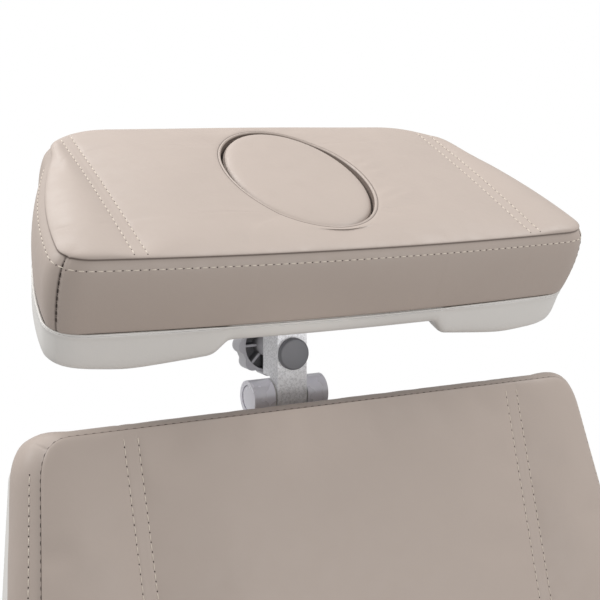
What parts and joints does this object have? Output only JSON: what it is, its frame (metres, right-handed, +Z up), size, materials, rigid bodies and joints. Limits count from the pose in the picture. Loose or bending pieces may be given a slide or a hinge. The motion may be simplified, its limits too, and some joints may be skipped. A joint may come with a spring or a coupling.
{
  "type": "treatment chair",
  "caption": "Powered dental and treatment chair with padded seat, reclining back, leg section, swing armrests and a double-jointed headrest with a lift-out face plug.",
  "frame": {"origin": "on the floor, at the centre of the whole chair's plan at rest", "axes": "+X to the occupant's left, +Y towards the head end, +Z up"},
  "size_m": [0.752, 1.2666, 1.4774],
  "materials": {
    "upholstery": "soft matte taupe leatherette",
    "shell_plastic": "semi-gloss white",
    "hammertone": "silver-grey hammered paint",
    "frame_paint": "light grey powder coat",
    "bright_steel": "ground",
    "grey_plastic": "fine texture",
    "glide_plastic": "smooth",
    "drive_plastic": "fine texture",
    "pedal_plastic": "ribbed",
    "rubber": "matte",
    "plywood": "sanded"
  },
  "bodies": {
    "base": {"base_plate": "frame_paint", "base_cover": "shell_plastic", "foot_pads": "rubber", "levelling_studs": "bright_steel", "control_box": "drive_plastic", "power_inlet": "drive_plastic", "pedal_shaft": "bright_steel", "column_outer": "frame_paint", "outer_glides": "glide_plastic", "column_cover_lower": "shell_plastic", "lift_actuator_housing": "drive_plastic"},
    "lift_stage": {"column_middle": "frame_paint", "middle_glides": "glide_plastic", "column_cover_middle": "shell_plastic", "lift_actuator_sleeve": "bright_steel"},
    "lift_carriage": {"column_inner": "frame_paint", "column_cover_upper": "shell_plastic", "lift_actuator_rod": "bright_steel", "lift_head": "frame_paint", "tilt_actuator_body": "drive_plastic"},
    "tilt_rod": {"tilt_actuator_rod": "bright_steel"},
    "seat": {"seat_frame": "frame_paint", "seat_board": "plywood", "seat_cushion": "upholstery", "seat_side_covers": "shell_plastic", "axle_pins": "bright_steel", "back_actuator_body": "drive_plastic", "leg_actuator_body": "drive_plastic", "armrest_posts": "frame_paint"},
    "back_rod": {"back_actuator_rod": "bright_steel"},
    "leg_rod": {"leg_actuator_rod": "bright_steel"},
    "back": {"back_cushion": "upholstery", "back_board": "plywood", "back_frame": "frame_paint", "back_shell": "shell_plastic", "shell_caps": "grey_plastic", "post_guide": "frame_paint"},
    "headrest_slider": {"headrest_post": "hammertone"},
    "headrest_arm": {"headrest_link": "hammertone", "lock_bolt": "bright_steel", "lock_cap": "grey_plastic", "hinge_pins": "bright_steel", "hinge_washers": "glide_plastic"},
    "knob": {"lock_knob": "grey_plastic"},
    "headrest": {"headrest_bracket": "hammertone", "headrest_shell": "shell_plastic", "headrest_cushion": "upholstery"},
    "plug": {"face_plug": "upholstery"},
    "leg": {"leg_cushion": "upholstery", "leg_board": "plywood", "leg_frame": "frame_paint", "leg_shell": "shell_plastic"},
    "armrest_left": {"armrest_bar_left": "frame_paint", "armrest_pad_left": "upholstery"},
    "armrest_right": {"armrest_bar_right": "frame_paint", "armrest_pad_right": "upholstery"},
    "lift_pedal": {"pedal_lift": "pedal_plastic"},
    "back_pedal": {"pedal_back": "pedal_plastic"},
    "leg_pedal": {"pedal_leg": "pedal_plastic"},
    "tilt_pedal": {"pedal_tilt": "pedal_plastic"}
  },
  "joints": [
    {"name": "lift", "type": "slide", "parent": "base", "child": "lift_carriage", "axis": [0, 0, 1], "range_m": [0, 0.3]},
    {"name": "lift_middle", "type": "slide", "parent": "base", "child": "lift_stage", "axis": [0, 0, 1], "range_m": [0, 0.15]},
    {"name": "seat_tilt", "type": "hinge", "parent": "lift_carriage", "child": "seat", "pos_m": [0, 0.10421, 0.435], "axis": [-1, 0, 0], "range_deg": [0, 12]},
    {"name": "tilt_drive", "type": "slide", "parent": "lift_carriage", "child": "tilt_rod", "axis": [0, 0, 1], "range_m": [0, 0.06]},
    {"name": "recline", "type": "hinge", "parent": "seat", "child": "back", "pos_m": [0, 0.24652, 0.492], "axis": [-1, 0, 0], "range_deg": [-5, 70]},
    {"name": "back_drive", "type": "slide", "parent": "seat", "child": "back_rod", "axis": [0, 1, 0], "range_m": [-0.083, 0.007]},
    {"name": "leg_raise", "type": "hinge", "parent": "seat", "child": "leg", "pos_m": [0, -0.33779, 0.4955], "axis": [-1, 0, 0], "range_deg": [-10, 55]},
    {"name": "leg_drive", "type": "slide", "parent": "seat", "child": "leg_rod", "axis": [0, 1, 0], "range_m": [-0.068, 0.0135]},
    {"name": "headrest_height", "type": "slide", "parent": "back", "child": "headrest_slider", "axis": [0, 0.3322, 0.9432], "range_m": [0, 0.12]},
    {"name": "headrest_reach", "type": "hinge", "parent": "headrest_slider", "child": "headrest_arm", "pos_m": [0, 0.5177, 1.22473], "axis": [-1, 0, 0], "range_deg": [-8, 30]},
    {"name": "headrest_tilt", "type": "hinge", "parent": "headrest_arm", "child": "headrest", "pos_m": [0, 0.52027, 1.3112], "axis": [-1, 0, 0], "range_deg": [-12, 30]},
    {"name": "lock_turn", "type": "hinge", "parent": "headrest_arm", "child": "knob", "pos_m": [0, 0.56296, 1.26666], "axis": [0, -0.9996, 0.0297], "range_deg": [0, 180]},
    {"name": "plug_lift", "type": "slide", "parent": "headrest", "child": "plug", "axis": [0, -0.3843, 0.9232], "range_m": [0, 0.12]},
    {"name": "armrest_left_swing", "type": "hinge", "parent": "seat", "child": "armrest_left", "pos_m": [0.33, 0.14421, 0.745], "axis": [-1, 0, 0], "range_deg": [0, 95]},
    {"name": "armrest_right_swing", "type": "hinge", "parent": "seat", "child": "armrest_right", "pos_m": [-0.33, 0.14421, 0.745], "axis": [-1, 0, 0], "range_deg": [0, 95]},
    {"name": "pedal_lift_rock", "type": "hinge", "parent": "base", "child": "lift_pedal", "pos_m": [-0.129, 0.31421, 0.052], "axis": [-1, 0, 0], "range_deg": [-6, 6]},
    {"name": "pedal_back_rock", "type": "hinge", "parent": "base", "child": "back_pedal", "pos_m": [-0.043, 0.31421, 0.052], "axis": [-1, 0, 0], "range_deg": [-6, 6]},
    {"name": "pedal_leg_rock", "type": "hinge", "parent": "base", "child": "leg_pedal", "pos_m": [0.043, 0.31421, 0.052], "axis": [-1, 0, 0], "range_deg": [-6, 6]},
    {"name": "pedal_tilt_rock", "type": "hinge", "parent": "base", "child": "tilt_pedal", "pos_m": [0.129, 0.31421, 0.052], "axis": [-1, 0, 0], "range_deg": [-6, 6]}
  ],
  "couplings": [
    {"joint": "lift_middle", "follows": "lift", "ratio": 0.5},
    {"joint": "tilt_drive", "follows": "seat_tilt", "m_per_rad": 0.2755},
    {"joint": "back_drive", "follows": "recline", "m_per_rad": -0.0663},
    {"joint": "leg_drive", "follows": "leg_raise", "m_per_rad": -0.0698}
  ]
}
